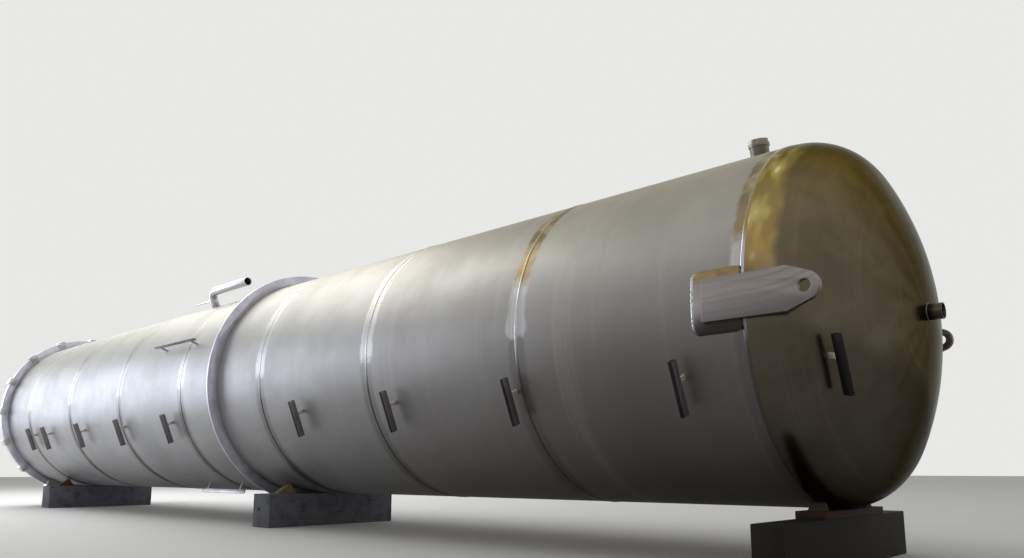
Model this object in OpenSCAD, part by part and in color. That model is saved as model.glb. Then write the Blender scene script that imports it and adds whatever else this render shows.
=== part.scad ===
// Shell of a shell and tube heat exchanger, lying on shipping timbers.
// The axis of the shell runs along X and the dished head is at the +X end.
// Distances called "from the head seam" run from the girth weld of that head,
// and angles round the shell start at the near side, -Y, and rise towards the top.

/* [Shell] */
// Outside diameter of the shell and of both heads
shell_od = 2100; // [2000:10:2200]
// Thickness of the shell plate
shell_t = 12; // [8:1:20]
// Length of one full course, from girth weld to girth weld
course_l = 1500; // [1490:5:1510]
// Length of the short course at the end flange
last_course_l = 930; // [900:10:960]
// Thickness of the dished plates
head_t = 14; // [10:1:20]
// Straight length of the dished head before its knuckle
head_straight = 25; // [20:1:50]

/* [Welds] */
// Width of a girth weld
weld_w = 16; // [10:1:24]
// Height of a girth weld over the plate
weld_h = 3; // [1:0.5:4]

/* [Rings and end cover] */
// Radial height of the support ring and the end flanges over the shell
ring_h = 95; // [80:5:120]
// Thickness of the support ring
ring_t = 20; // [12:1:30]
// Place of the support ring, counted in courses from the head seam
ring_courses = 3.5; // [3.45:0.05:3.55]
// Thickness of each end flange
flange_t = 30; // [20:1:40]
// Thickness of the gasket between the end flanges
gasket_t = 3; // [2:0.5:6]
// How far the gasket's rim stays inside the rims of the flanges
gasket_inset = 10; // [5:1:15]
// Straight length of the cover head behind its gasket face
cover_straight = 45; // [40:1:70]
// Width of a rim clamp, measured round the rim
clamp_w = 90; // [60:5:110]
// Thickness of a rim clamp's jaws and back
clamp_t = 27; // [20:1:35]
// How far a rim clamp's jaws reach over the flange faces
clamp_reach = 60; // [40:5:70]

/* [Lifting lugs] */
// Thickness of a lug plate
lug_t = 30; // [20:1:40]
// Half the height of a lug plate
lug_half_h = 110; // [90:5:130]
// How far a lug plate reaches back from the head seam
lug_back = 205; // [180:5:220]
// How far its straight sides reach past the head seam
lug_front = 240; // [220:5:250]
// Distance from the head seam to the lug hole
lug_hole_at = 325; // [315:5:335]
// Diameter of the lug hole
lug_hole_d = 60; // [40:1:70]
// Radius of the rounded nose round the lug hole
lug_nose_r = 72; // [60:1:80]
// Thickness of the pad under a lug
pad_t = 12; // [8:1:16]
// How far the pad reaches back from the head seam
pad_back = 270; // [260:5:300]
// Half the height of the pad
pad_half_h = 160; // [150:5:180]
// Radius of the pad's back corners
pad_corner_r = 40; // [20:5:60]

/* [Nozzles] */
// Outside diameter of the top nozzle
nozzle_od = 114; // [106:1:140]
// Bore of the top nozzle
nozzle_bore_d = 98; // [70:1:100]
// Height of the top nozzle over the shell
nozzle_h = 116; // [90:1:140]
// Distance from the head seam to the top nozzle
nozzle_at = 266; // [246:5:401]
// Angle of the top nozzle round the shell
nozzle_a = 80; // [75:1:90]
// How much wider than the top nozzle its collar is
collar_over = 12; // [6:1:20]
// Height of the collar
collar_h = 24; // [15:1:40]
// Height of the collar's lower face over the shell
collar_at = 70; // [50:1:90]
// Outside diameter of the nozzle in the middle of the dished head
head_nozzle_od = 89; // [82:1:102]
// Bore of the nozzle in the middle of the dished head
head_nozzle_bore_d = 78; // [60:1:78]
// How far that nozzle stands out of the dished head
head_nozzle_l = 75; // [50:5:120]

/* [Elbow pipe] */
// Outside diameter of the elbow pipe
pipe_od = 89; // [82:1:102]
// Bore of the elbow pipe
pipe_bore_d = 77; // [60:1:78]
// Height of the pipe run's centre line over the shell
pipe_h = 170; // [155:1:200]
// Bend radius of the elbow
pipe_bend_r = 90; // [80:1:110]
// Distance from the support ring to the pipe's foot
pipe_foot_from_ring = 1390; // [1350:10:1450]
// Length of the pipe run from its foot to its open end
pipe_run = 790; // [600:10:900]
// Angle of the elbow pipe round the shell
pipe_a = 67.5; // [60:0.5:75]
// Diameter of the small branch tube
branch_d = 22; // [15:1:30]
// Length of the small branch tube, measured from the pipe's foot
branch_l = 420; // [200:10:500]

/* [Clips and brackets] */
// Height of the clips and brackets over the shell
standoff = 105; // [85:5:130]
// Radial height of the clip bars
bar_h = 50; // [40:5:60]
// Thickness of the clip bars along the shell
bar_t = 25; // [16:1:30]
// Length of a clip bar
clip_l = 300; // [200:10:360]
// Thickness of the clip stems and of the bracket plate
clip_t = 10; // [6:1:14]
// Width of a clip's stem
stem_w = 80; // [60:5:100]
// Distance from the head seam to the first clip
clip_first = 375; // [320:5:450]
// Distance between neighbouring clips
clip_pitch = 1175; // [1150:5:1190]
// Distance from the end flange's gasket face to the last clip
last_clip_from_end = 1080; // [1020:10:1120]
// Angle of the clips round the shell
clip_a = -22; // [-30:0.5:-15]
// Where the head clip stands on the knuckle, as an angle from straight out
head_clip_tilt = 57; // [45:1:60]
// Length of a bracket's rail
rail_l = 890; // [700:10:1000]
// Radial height of a bracket's rail
rail_h = 40; // [30:5:60]
// Width of a bracket's legs
leg_w = 35; // [25:5:50]
// Distance of a bracket's legs from each other, centre to centre
leg_pitch = 670; // [500:10:700]
// Distance from the support ring to the middle of the brackets
bracket_from_ring = 950; // [920:10:1000]
// Angle of the upper bracket round the shell
upper_a = 22.5; // [15:0.5:30]
// Angle of the lower bracket round the shell
lower_a = -67.5; // [-72:0.5:-60]

/* [Shipping timbers] */
// Height of the timbers from the ground to the shell
timber_h = 300; // [250:10:400]
// Width of the middle and left timbers
timber_w = 280; // [200:10:320]
// Length of the middle and left timbers
timber_l = 1400; // [1200:50:1800]
// Distance from the support ring back to the centre of the middle timber
middle_timber_from_ring = 280; // [200:10:400]
// Distance from the end flange's gasket face to the centre of the left timber
left_timber_from_end = 760; // [700:10:820]
// Width of the right timber
right_timber_w = 165; // [140:5:200]
// Length of the right timber
right_timber_l = 1750; // [1600:50:2000]
// How far the right timber is shifted to the near side
right_timber_shift = 75; // [0:5:100]
// Distance from the head seam to the centre of the right timber, towards the head
right_timber_at = 15; // [-60:5:20]
// Thickness of the board on the right timber
board_t = 40; // [25:5:60]
// Length of the board on the right timber
board_l = 860; // [800:10:1000]
// Where the chocks on the left and middle timbers touch the shell, as an angle from straight down
chock_a = 24; // [20:1:28]
// Where the chocks on the board touch the shell, as an angle from straight down
board_chock_a = 17; // [14:1:18]
// Slope of a chock's outer face
chock_outer_slope = 34; // [30:1:45]
// Slope of a chock's inner face
chock_inner_slope = 52; // [45:1:60]
// Width of the chocks along the shell
chock_w = 80; // [60:5:120]

/* [Hidden] */
// Facets of a full turn: on the shell, on small pieces, along a dish, on cuts that follow the shell
$fn = 48;
small_fn = 24;
dish_fn = 36;
fine_fn = 240;
shell_r = shell_od / 2;
// Gap kept where a welded-on piece follows the round shell
seat = 0.3;
// How far a cut runs past the faces it opens
past = 1;
// Proportions of the dished ends: crown radius and knuckle radius to diameter
crown_r = 0.9 * shell_od;
knuckle_r = 0.17 * shell_od;
crown_drop = sqrt(pow(crown_r - knuckle_r, 2) - pow(shell_r - knuckle_r, 2));
knuckle_a = asin((shell_r - knuckle_r) / (crown_r - knuckle_r));
dish_h = crown_r - crown_drop;
ring_r = shell_r + ring_h;
FULL_COURSES = 7;
CLIPS = 9;
CLAMPS = 16;
// The clips before the support ring
CLIPS_BEFORE_RING = 4;
// Distances from the head seam to the gasket face and to the near face of the support ring
shell_l = FULL_COURSES * course_l + last_course_l;
ring_at = ring_courses * course_l;
cover_face = shell_l + gasket_t;
head_end = head_straight + dish_h;
cover_end = cover_face + cover_straight + dish_h;
x_mid = (head_end + head_nozzle_l - cover_end) / 2;
axis_h = timber_h + shell_r + seat;
reach = 4 * shell_r;
left_timber_at = shell_l - left_timber_from_end;
middle_timber_at = ring_at - middle_timber_from_ring;

courses = [for (i = [1:FULL_COURSES + 1]) str("shell_course_", i)];
clips = [for (i = [1:CLIPS]) str("clip_", i)];

// Moves a piece to a distance from the head seam, on the shell's axis
module along_axis(from_seam) {
    translate([-from_seam - x_mid, 0, axis_h]) children();
}

// Stands a piece on the axis so that its +Z points out of the shell at an angle
module on_shell(from_seam, angle) {
    along_axis(from_seam) rotate([90 - angle, 0, 0]) children();
}

// A ring or tube round the axis that runs from z1 to z2 away from the head seam
module tube(inner_r, outer_r, from1, from2) {
    along_axis(from2)
        rotate([0, 90, 0])
            difference() {
                cylinder(r = outer_r, h = from2 - from1);
                translate([0, 0, -past]) cylinder(r = inner_r, h = from2 - from1 + 2 * past);
            }
}

// The room that the shell takes, with the welding gap, seen from on_shell
module shell_room(extra = 0) {
    rotate([0, 90, 0])
        cylinder(r = shell_r + seat + extra, h = reach, center = true, $fn = fine_fn);
}

// Half outline of a dished end, radius along X and depth along Y, set in by inset.
// Its crown is turned so that two facets meet at the edge of a hole in the middle.
module dish_outline(inset, start, straight, hole_r) {
    $fn = dish_fn;
    crown_y = straight - crown_drop;
    far = 2 * crown_r;
    translate([0, start]) square([shell_r - inset, straight - start]);
    translate([0, straight])
        intersection() {
            translate([shell_r - knuckle_r, 0]) circle(r = knuckle_r - inset);
            polygon([[shell_r - knuckle_r, 0], [far, 0],
                     [shell_r - knuckle_r + far * sin(knuckle_a), far * cos(knuckle_a)]]);
        }
    intersection() {
        translate([0, crown_y])
            rotate(-asin(hole_r / crown_r)) circle(r = crown_r - inset);
        polygon([[0, straight], [shell_r - knuckle_r, straight],
                 [far * sin(knuckle_a), crown_y + far * cos(knuckle_a)],
                 [0, crown_y + far]]);
    }
}

// A hollow dished end that points along +Z
module dished_end(start, straight, hole_r = 0) {
    rotate_extrude()
        difference() {
            dish_outline(0, start, straight, hole_r);
            dish_outline(head_t, start - past, straight, hole_r);
            if (hole_r > 0)
                square([hole_r, crown_r]);
        }
}

// The shell plate of one course; the first course is next to the dished head
module shell_course(i) {
    from1 = (i - 1) * course_l + weld_w / 2;
    from2 = i > FULL_COURSES ? shell_l : i * course_l - weld_w / 2;
    color("gainsboro")
        difference() {
            tube(shell_r - shell_t, shell_r, from1, from2);
            if (i == 1)
                on_shell(nozzle_at, nozzle_a)
                    translate([0, 0, shell_r / 2]) cylinder(d = nozzle_bore_d, h = shell_r);
        }
}

// The crowned weld beads between the courses and at the dished head
module girth_welds() {
    color("silver")
        for (i = [0:FULL_COURSES])
            along_axis(i * course_l)
                rotate([0, 90, 0])
                    rotate_extrude()
                        polygon([[shell_r - shell_t, -weld_w / 2],
                                 [shell_r + weld_h, -weld_w / 2],
                                 [shell_r + weld_h, weld_w / 2],
                                 [shell_r - shell_t, weld_w / 2]]);
}

module dished_head() {
    color("lightgray")
        along_axis(0)
            rotate([0, 90, 0])
                dished_end(weld_w / 2, head_straight, head_nozzle_od / 2 + seat);
}

module cover_head() {
    color("lightgray")
        along_axis(cover_face) rotate([0, -90, 0]) dished_end(0, cover_straight);
}

module support_ring() {
    color("darkgray") tube(shell_r + seat, ring_r, ring_at, ring_at + ring_t);
}

module end_flange() {
    color("darkgray") tube(shell_r + seat, ring_r, shell_l - flange_t, shell_l);
}

module gasket() {
    color("dimgray") tube(shell_r - shell_t, ring_r - gasket_inset, shell_l, cover_face);
}

module cover_flange() {
    color("darkgray") tube(shell_r + seat, ring_r, cover_face, cover_face + flange_t);
}

// C-shaped clamps that grip the rims of both flanges
module rim_clamps() {
    grip = 2 * flange_t + gasket_t + 2 * seat;
    color("whitesmoke")
        for (i = [0:CLAMPS - 1])
            on_shell(shell_l + gasket_t / 2, i * 360 / CLAMPS)
                translate([0, clamp_w / 2, 0])
                    rotate([90, 0, 0])
                        linear_extrude(clamp_w)
                            difference() {
                                translate([-grip / 2 - clamp_t, ring_r - clamp_reach])
                                    square([grip + 2 * clamp_t, clamp_reach + clamp_t]);
                                translate([-grip / 2, 0]) square([grip, ring_r + seat]);
                            }
}

// Curved pad with round back corners, from its back end to the head seam's weld
module lug_pad(angle) {
    front = weld_w / 2 + 1;
    color("gainsboro")
        on_shell(0, angle)
            difference() {
                intersection() {
                    rotate([0, 90, 0])
                        cylinder(r = shell_r + seat + pad_t, h = reach, center = true,
                                 $fn = fine_fn);
                    linear_extrude(2 * shell_r) {
                        translate([-pad_back + pad_corner_r, -pad_half_h])
                            square([pad_back - pad_corner_r - front, 2 * pad_half_h]);
                        translate([-pad_back, -pad_half_h + pad_corner_r])
                            square([pad_corner_r, 2 * (pad_half_h - pad_corner_r)]);
                        for (side = [-1, 1])
                            translate([-pad_back + pad_corner_r,
                                       side * (pad_half_h - pad_corner_r)])
                                circle(r = pad_corner_r, $fn = small_fn);
                    }
                }
                shell_room();
            }
}

// Outline of a lug plate, with sloped sides that run into the round nose
module lug_outline() {
    // The slopes pass this little inside the tangent, so that they cut the nose cleanly
    inside = 0.3;
    nose_x = lug_hole_at - lug_front;
    corner = norm([nose_x, lug_half_h]);
    side_r = lug_nose_r - inside;
    turn = asin(side_r / corner) - atan2(lug_half_h, nose_x);
    side_l = sqrt(corner * corner - side_r * side_r);
    touch = [lug_front + side_l * cos(turn), lug_half_h + side_l * sin(turn)];
    difference() {
        union() {
            polygon([[-lug_back, -lug_half_h], [lug_front, -lug_half_h],
                     [touch[0], -touch[1]], [lug_hole_at, 0], touch,
                     [lug_front, lug_half_h], [-lug_back, lug_half_h]]);
            translate([lug_hole_at, 0]) circle(r = lug_nose_r);
        }
        translate([lug_hole_at, 0]) circle(d = lug_hole_d);
    }
}

// Flat lug plate, and behind it the weld metal that fills the gap to the curved pad
module lifting_lug(angle) {
    pad_face = shell_r + pad_t + 2 * seat;
    land = 1;
    sag = pad_face - sqrt(pad_face * pad_face - lug_half_h * lug_half_h);
    color("silver")
        on_shell(0, angle) {
            translate([0, 0, pad_face + land]) linear_extrude(lug_t) lug_outline();
            difference() {
                translate([-lug_back, -lug_half_h, pad_face - sag])
                    cube([lug_back - weld_w, 2 * lug_half_h, sag + 2 * land]);
                shell_room(pad_t + seat);
            }
        }
}

// Plain pipe stub with a collar, standing over its hole in the first course
module top_nozzle() {
    $fn = small_fn;
    color("silver")
        on_shell(nozzle_at, nozzle_a)
            difference() {
                union() {
                    translate([0, 0, shell_r - shell_t])
                        cylinder(d = nozzle_od, h = shell_t + nozzle_h);
                    translate([0, 0, shell_r + collar_at])
                        cylinder(d = nozzle_od + collar_over, h = collar_h);
                }
                translate([0, 0, shell_r / 2]) cylinder(d = nozzle_bore_d, h = shell_r);
                shell_room();
            }
}

// Plain pipe stub through the middle of the dished head
module head_nozzle() {
    $fn = small_fn;
    inner_end = head_end - head_t;
    length = head_t + head_nozzle_l;
    color("silver")
        along_axis(-inner_end)
            rotate([0, 90, 0])
                difference() {
                    cylinder(d = head_nozzle_od, h = length);
                    translate([0, 0, -past])
                        cylinder(d = head_nozzle_bore_d, h = length + 2 * past);
                }
}

// Pipe that rises from the shell, bends and runs along it towards the dished head
module elbow_pipe() {
    $fn = small_fn;
    rise = shell_r + pipe_h - pipe_bend_r;
    color("silver")
        on_shell(ring_at + pipe_foot_from_ring, pipe_a) {
            difference() {
                union() {
                    cylinder(d = pipe_od, h = rise);
                    translate([-branch_l, 0, shell_r + pipe_h - pipe_bend_r])
                        rotate([0, 90, 0]) cylinder(d = branch_d, h = branch_l);
                }
                translate([0, 0, -past]) cylinder(d = pipe_bore_d, h = rise + 2 * past);
                shell_room();
            }
            translate([pipe_bend_r, 0, rise])
                rotate([-90, 0, 0])
                    rotate_extrude(start = 180, angle = 90)
                        translate([pipe_bend_r, 0])
                            difference() {
                                circle(d = pipe_od);
                                circle(d = pipe_bore_d);
                            }
            translate([pipe_bend_r, 0, shell_r + pipe_h])
                rotate([0, 90, 0])
                    difference() {
                        cylinder(d = pipe_od, h = pipe_run - pipe_bend_r);
                        translate([0, 0, -past]) cylinder(d = pipe_bore_d, h = pipe_run);
                    }
        }
}

// Plate bracket: a rail along the shell on two legs
module bracket(angle) {
    color("silver")
        on_shell(ring_at + bracket_from_ring, angle)
            translate([0, clip_t / 2, shell_r])
                rotate([90, 0, 0])
                    linear_extrude(clip_t) {
                        translate([-rail_l / 2, standoff - rail_h]) square([rail_l, rail_h]);
                        for (side = [-1, 1])
                            translate([side * leg_pitch / 2 - leg_w / 2, seat])
                                square([leg_w, standoff - rail_h - seat]);
                    }
}

// Clip shaped like a T: a bar round the shell on one short plate stem
module tee() {
    stem_h = standoff - bar_h - seat;
    color("silver") {
        translate([-bar_t / 2, -clip_l / 2, seat + stem_h]) cube([bar_t, clip_l, bar_h]);
        translate([-clip_t / 2, -stem_w / 2, seat]) cube([clip_t, stem_w, stem_h]);
    }
}

// Distance of a clip from the head seam; the place beside the support ring stays free
function clip_from(i) = i == CLIPS ? shell_l - last_clip_from_end
    : clip_first + (i > CLIPS_BEFORE_RING ? i : i - 1) * clip_pitch;

module clip(i) {
    on_shell(clip_from(i), clip_a) translate([0, 0, shell_r]) tee();
}

module head_clip() {
    on_shell(-head_straight, clip_a)
        translate([0, 0, shell_r - knuckle_r])
            rotate([0, head_clip_tilt, 0]) translate([0, 0, knuckle_r]) tee();
}

// A squared timber across the shell, between two heights over the ground
module timber(from_seam, width, length, low, high, shift = 0) {
    translate([-from_seam - x_mid - width / 2, -length / 2 - shift, low])
        cube([width, length, high - low]);
}

module timber_left() {
    color("dimgray") timber(left_timber_at, timber_w, timber_l, 0, timber_h);
}

module timber_middle() {
    color("dimgray") timber(middle_timber_at, timber_w, timber_l, 0, timber_h);
}

module timber_right() {
    color("dimgray")
        timber(-right_timber_at, right_timber_w, right_timber_l, 0, timber_h - board_t,
               right_timber_shift);
}

module saddle_board() {
    color("saddlebrown")
        timber(-right_timber_at, right_timber_w, board_l, timber_h - board_t, timber_h);
}

// Two three-cornered chocks whose upper edges touch the shell from both sides
module chocks(from_seam, touch_a) {
    touch_r = shell_r + seat;
    top_y = touch_r * sin(touch_a);
    top_z = touch_r * (1 - cos(touch_a));
    toe = top_y - top_z / tan(chock_inner_slope);
    heel = top_y + top_z / tan(chock_outer_slope);
    color("burlywood")
        for (side = [-1, 1])
            translate([-from_seam - x_mid - chock_w / 2, 0, timber_h])
                rotate([90, 0, 90])
                    linear_extrude(chock_w)
                        polygon([[side * toe, 0], [side * heel, 0], [side * top_y, top_z]]);
}

timber_left();
timber_middle();
timber_right();
saddle_board();
chocks(left_timber_at, chock_a);  // chocks_left
chocks(middle_timber_at, chock_a);  // chocks_middle
chocks(-right_timber_at, board_chock_a);  // chocks_right
for (i = [1:FULL_COURSES + 1])
    shell_course(i);
girth_welds();
dished_head();
support_ring();
end_flange();
gasket();
cover_flange();
cover_head();
rim_clamps();
lug_pad(0);  // lug_pad_near
lug_pad(180);  // lug_pad_far
lifting_lug(0);  // lifting_lug_near
lifting_lug(180);  // lifting_lug_far
top_nozzle();
head_nozzle();
elbow_pipe();
bracket(upper_a);  // bracket_upper
bracket(lower_a);  // bracket_lower
for (i = [1:CLIPS])
    clip(i);
head_clip();
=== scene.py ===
"""Dresses a stainless steel heat exchanger shell that lies on its shipping timbers.

Lengths are in metres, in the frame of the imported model: X runs along the shell towards the dished
head with the lugs, Z points up, and the side with the clips faces -Y. Names that end in _mm or _MM
hold millimetres. Angles round the shell are in degrees, from the side with the clips upwards.
"""
import functools
import math

import bmesh
import bpy
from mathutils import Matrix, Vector, noise


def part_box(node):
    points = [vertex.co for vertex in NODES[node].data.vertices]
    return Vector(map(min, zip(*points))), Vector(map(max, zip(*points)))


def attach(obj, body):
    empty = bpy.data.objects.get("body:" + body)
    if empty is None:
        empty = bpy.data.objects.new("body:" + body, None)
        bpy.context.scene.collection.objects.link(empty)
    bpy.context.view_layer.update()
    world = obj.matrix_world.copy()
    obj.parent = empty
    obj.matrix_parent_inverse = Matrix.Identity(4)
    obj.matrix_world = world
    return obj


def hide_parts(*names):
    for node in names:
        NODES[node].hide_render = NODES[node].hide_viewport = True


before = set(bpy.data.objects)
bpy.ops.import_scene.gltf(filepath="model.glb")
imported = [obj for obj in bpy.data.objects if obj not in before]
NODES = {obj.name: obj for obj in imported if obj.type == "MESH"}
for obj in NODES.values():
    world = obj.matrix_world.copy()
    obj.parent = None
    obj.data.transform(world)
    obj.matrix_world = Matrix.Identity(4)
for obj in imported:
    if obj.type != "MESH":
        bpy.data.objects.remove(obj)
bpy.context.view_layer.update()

bl_info = {
    "name": "Heat exchanger shell",
    "version": (1, 0, 0),
    "blender": (4, 5, 0),
    "location": "View3D > Sidebar > Exchanger",
    "description": "Gives a heat exchanger shell its plate, welds, ground lugs and sawn timbers",
    "category": "Object",
}

MM = 0.001


def box_of(name):
    """Lowest corner, highest corner and size of a node."""
    low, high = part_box(name)
    return low, high, high - low


def middle_of(name):
    """The middle of a node."""
    low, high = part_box(name)
    return (low + high) / 2


# Measures of the shell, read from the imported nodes
COURSES = [f"shell_course_{i}" for i in range(1, 9)]
CLIPS = [f"clip_{i}" for i in range(1, 10)]
LOW, HIGH, SIZE = box_of("shell_course_2")
SHELL_R = SIZE.y / 2
AXIS_Z = (LOW.z + HIGH.z) / 2
JOINT_W = box_of("shell_course_1")[0].x - HIGH.x
HEAD_SEAM = box_of("shell_course_1")[1].x + JOINT_W / 2
COURSE_L = SIZE.x + JOINT_W
SEAMS = [HEAD_SEAM - i * COURSE_L for i in range(len(COURSES))]
PAD_R = -box_of("lug_pad_near")[0].y

# Measures that the boxes of the nodes do not give
HEAD_STRAIGHT = 25 * MM
KNUCKLE_R = 0.17 * 2 * SHELL_R
HEAD_CLIP_TILT = 57.0
LUG_HOLE_X = HEAD_SEAM + 325 * MM
# A clip: a bar across the end of a short stem, which stands above the bar's middle
STANDOFF = 105 * MM
BAR_SIZE = Vector((25, 300, 50)) * MM
STEM_SIZE = Vector((16, 27, 58)) * MM
STEM_UP = 38 * MM
# The brackets' legs: thickness, width and distance from each other
LEG_T = 10 * MM
LEG_W = 35 * MM
LEG_PITCH = 670 * MM
# Radii of the stub on top of the shell and of the elbow pipe, and where the elbow pipe stands
NOZZLE_R = 57 * MM
PIPE_R = 44.5 * MM
PIPE_X = HEAD_SEAM - 6640 * MM
PIPE_ANGLE = 67.5
# How far the head's stub stands out of the crown, and the corner radius of the lug pads
STUB_H = 75 * MM
PAD_CORNER = 45 * MM

# Weld beads: points round the shell and round the head's stub, arcs over the crown, and the
# distance between the points of a short bead
RING_POINTS = 540
STUB_POINTS = 72
CROWN_ARCS = 6
STEP = 4 * MM
# The shares by which a bead's width and height wander, and how far it sways
WIDTH_WANDER = 0.12
HEIGHT_WANDER = 0.18
SWAY = 0.8 * MM
# How deep a girth weld sits, and the height of the welds of rings and feet as a share of the width
GIRTH_SINK = 1 * MM
RING_RISE = 0.45
FOOT_RISE = 0.4
# Fillets at the feet of lugs and pipes, and the beads round the lug pads: size and place
FILLET_W = 12 * MM
FILLET_H = 5 * MM
PAD_WELD_H = 12 * MM
PAD_WELD_OUT = 3 * MM
PAD_WELD_UP = 2 * MM
# Corners of the outlines of a lug's foot and of a clip's or bracket's foot
LUG_CORNER = 4 * MM
FOOT_CORNER = 3 * MM
# Widths of eased edges
LUG_EASE = 5 * MM
TIMBER_EASE = 5 * MM
BOARD_EASE = 2.5 * MM
# Angles between faces: of one plane below the first, cut edges to ease above the second, and
# edges that look sharp, on plates and on beads, above the others
ONE_PLANE = math.radians(0.5)
CUT_EDGE = math.radians(35)
PLATE_SHARP = math.radians(32)
BEAD_SHARP = math.radians(60)
# A hole drilled into the end of the middle timber: radius, depth, distance from the middle and
# height as a share of the timber's
HOLE_R = 15 * MM
HOLE_DEPTH = 120 * MM
HOLE_OFF = 40 * MM
HOLE_HEIGHT = 0.55

# Marks that the finishes draw: the brushed bands beside the girth welds, the fading edge of the
# golden band, the ripples of the welds, and the growth rings of the wood and their pith
BAND_W = 52 * MM
BAND_FADE = 30 * MM
GOLD_FADE = 60 * MM
RIPPLE_PITCH_MM = 7.0
RIPPLE_BEND_MM = 3.5
GROWTH_RING = 6 * MM
PITH_DEPTH = 210 * MM
WELD = "brushed_stainless_weld"

# The camera: its place, its turns in degrees, and the picture's width and upward shift in pixels
CAMERA_AT = (HEAD_SEAM + 1.765, -4.619, 0.521)
CAMERA_PITCH, CAMERA_ROLL, CAMERA_TURN = 9.10, 0.08, 42.72
PICTURE_W_PX = 1024
SHIFT_UP_PX = 62
# The lamps: place, the point that they shine at, size in metres, watts and colour
LAMPS = {
    "sky_panel": ((-8.0, -0.5, 9.0), (-7.0, 0.0, 0.0), (12.0, 8.0), 990, "#fbfcff"),
    "day_gleam": ((-16.0, -7.0, 3.4), (-4.0, 0.0, 1.3), (14.0, 6.6), 930, "#e9f0ff"),
    "day_panel": ((-18.0, -9.0, 7.0), (-4.0, 0.0, 1.0), (12.0, 8.0), 90, "#e9f0ff"),
    "near_panel": ((6.0, -12.0, 6.0), (0.0, 0.0, 1.2), (8.0, 4.0), 50, "#fff8ee"),
}
# Half the length of a side of the floor
FLOOR_HALF = 60.0

# Kinds of node that the finishes are made of
MATH = "ShaderNodeMath"
VECTOR = "ShaderNodeVectorMath"
SPLIT = "ShaderNodeSeparateXYZ"
MERGE = "ShaderNodeCombineXYZ"
NOISE = "ShaderNodeTexNoise"
RANGE = "ShaderNodeMapRange"
MIX = "ShaderNodeMix"
BUMP = "ShaderNodeBump"
PLACE = "ShaderNodeTexCoord"
ATTRIBUTE = "ShaderNodeAttribute"
SHADER = "ShaderNodeBsdfPrincipled"
OUTPUT = "ShaderNodeOutputMaterial"
# A range with soft ends: sockets 1 and 2 are the limits of the value, 3 and 4 those of the result
SOFT = {"interpolation_type": "SMOOTHSTEP"}
# A mix of two colours: socket 0 is the share of the second one, 6 and 7 are the colours
COLOURS = {"data_type": "RGBA", "out": 2}
# Sums: socket 0 times or minus socket 1, and socket 0 times socket 1 plus socket 2
TIMES = {"operation": "MULTIPLY"}
MINUS = {"operation": "SUBTRACT"}
SCALED = {"operation": "MULTIPLY_ADD"}


def out_of_shell(angle):
    """Direction out of the shell at an angle."""
    a = math.radians(angle)
    return Vector((0.0, -math.cos(a), math.sin(a)))


def on_shell(x, angle, r=SHELL_R):
    """The point at a distance r from the shell's axis."""
    return Vector((x, 0.0, AXIS_Z)) + r * out_of_shell(angle)


def angle_of(name):
    """Angle round the shell at which the middle of a node stands."""
    middle = middle_of(name)
    return math.degrees(math.atan2(middle.z - AXIS_Z, -middle.y))


def linear(hex_colour):
    """A colour written as sRGB hex, as the linear values that sockets take."""
    values = [int(hex_colour[i : i + 2], 16) / 255 for i in (1, 3, 5)]
    return tuple(
        v / 12.92 if v <= 0.04045 else ((v + 0.055) / 1.055) ** 2.4 for v in values
    ) + (1.0,)


def per_mm(size_mm):
    """Noise scale at which a patch is about so many millimetres wide."""
    return 1 / (size_mm * MM)


def add_node(tree, kind, values=None, out=0, **settings):
    """Adds a node with its settings and links, and returns the socket with its result, if any."""
    made = tree.nodes.new(kind)
    for key, value in settings.items():
        setattr(made, key, value)
    for socket, value in (values or {}).items():
        if isinstance(value, bpy.types.NodeSocket):
            tree.links.new(value, made.inputs[socket])
        else:
            made.inputs[socket].default_value = value
    return made.outputs[out] if len(made.outputs) else None


def new_finish(name, recipe, *details):
    """A material made by a recipe, which adds its nodes and returns the finished surface."""
    material = bpy.data.materials.new(name)
    material.use_nodes = True
    material.node_tree.nodes.clear()
    add = functools.partial(add_node, material.node_tree)
    add(OUTPUT, {"Surface": recipe(add, *details)})
    return material


def unrolled(add):
    """Coordinates on the shell laid flat, then along it, height from -1 to 1 and radius."""
    x, y, z = add(SPLIT, {0: add(PLACE, out="Object")}).node.outputs
    up = add(MATH, {0: z, 1: AXIS_Z}, **MINUS)
    turn = add(MATH, {0: y, 1: up}, operation="ARCTAN2")
    round_way = add(MATH, {0: turn, 1: SHELL_R}, **TIMES)
    r = add(VECTOR, {0: add(MERGE, {0: y, 1: up})}, out=1, operation="LENGTH")
    height = add(MATH, {0: up, 1: SHELL_R}, operation="DIVIDE")
    return add(MERGE, {0: x, 1: round_way, 2: r}), x, height, r


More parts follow.
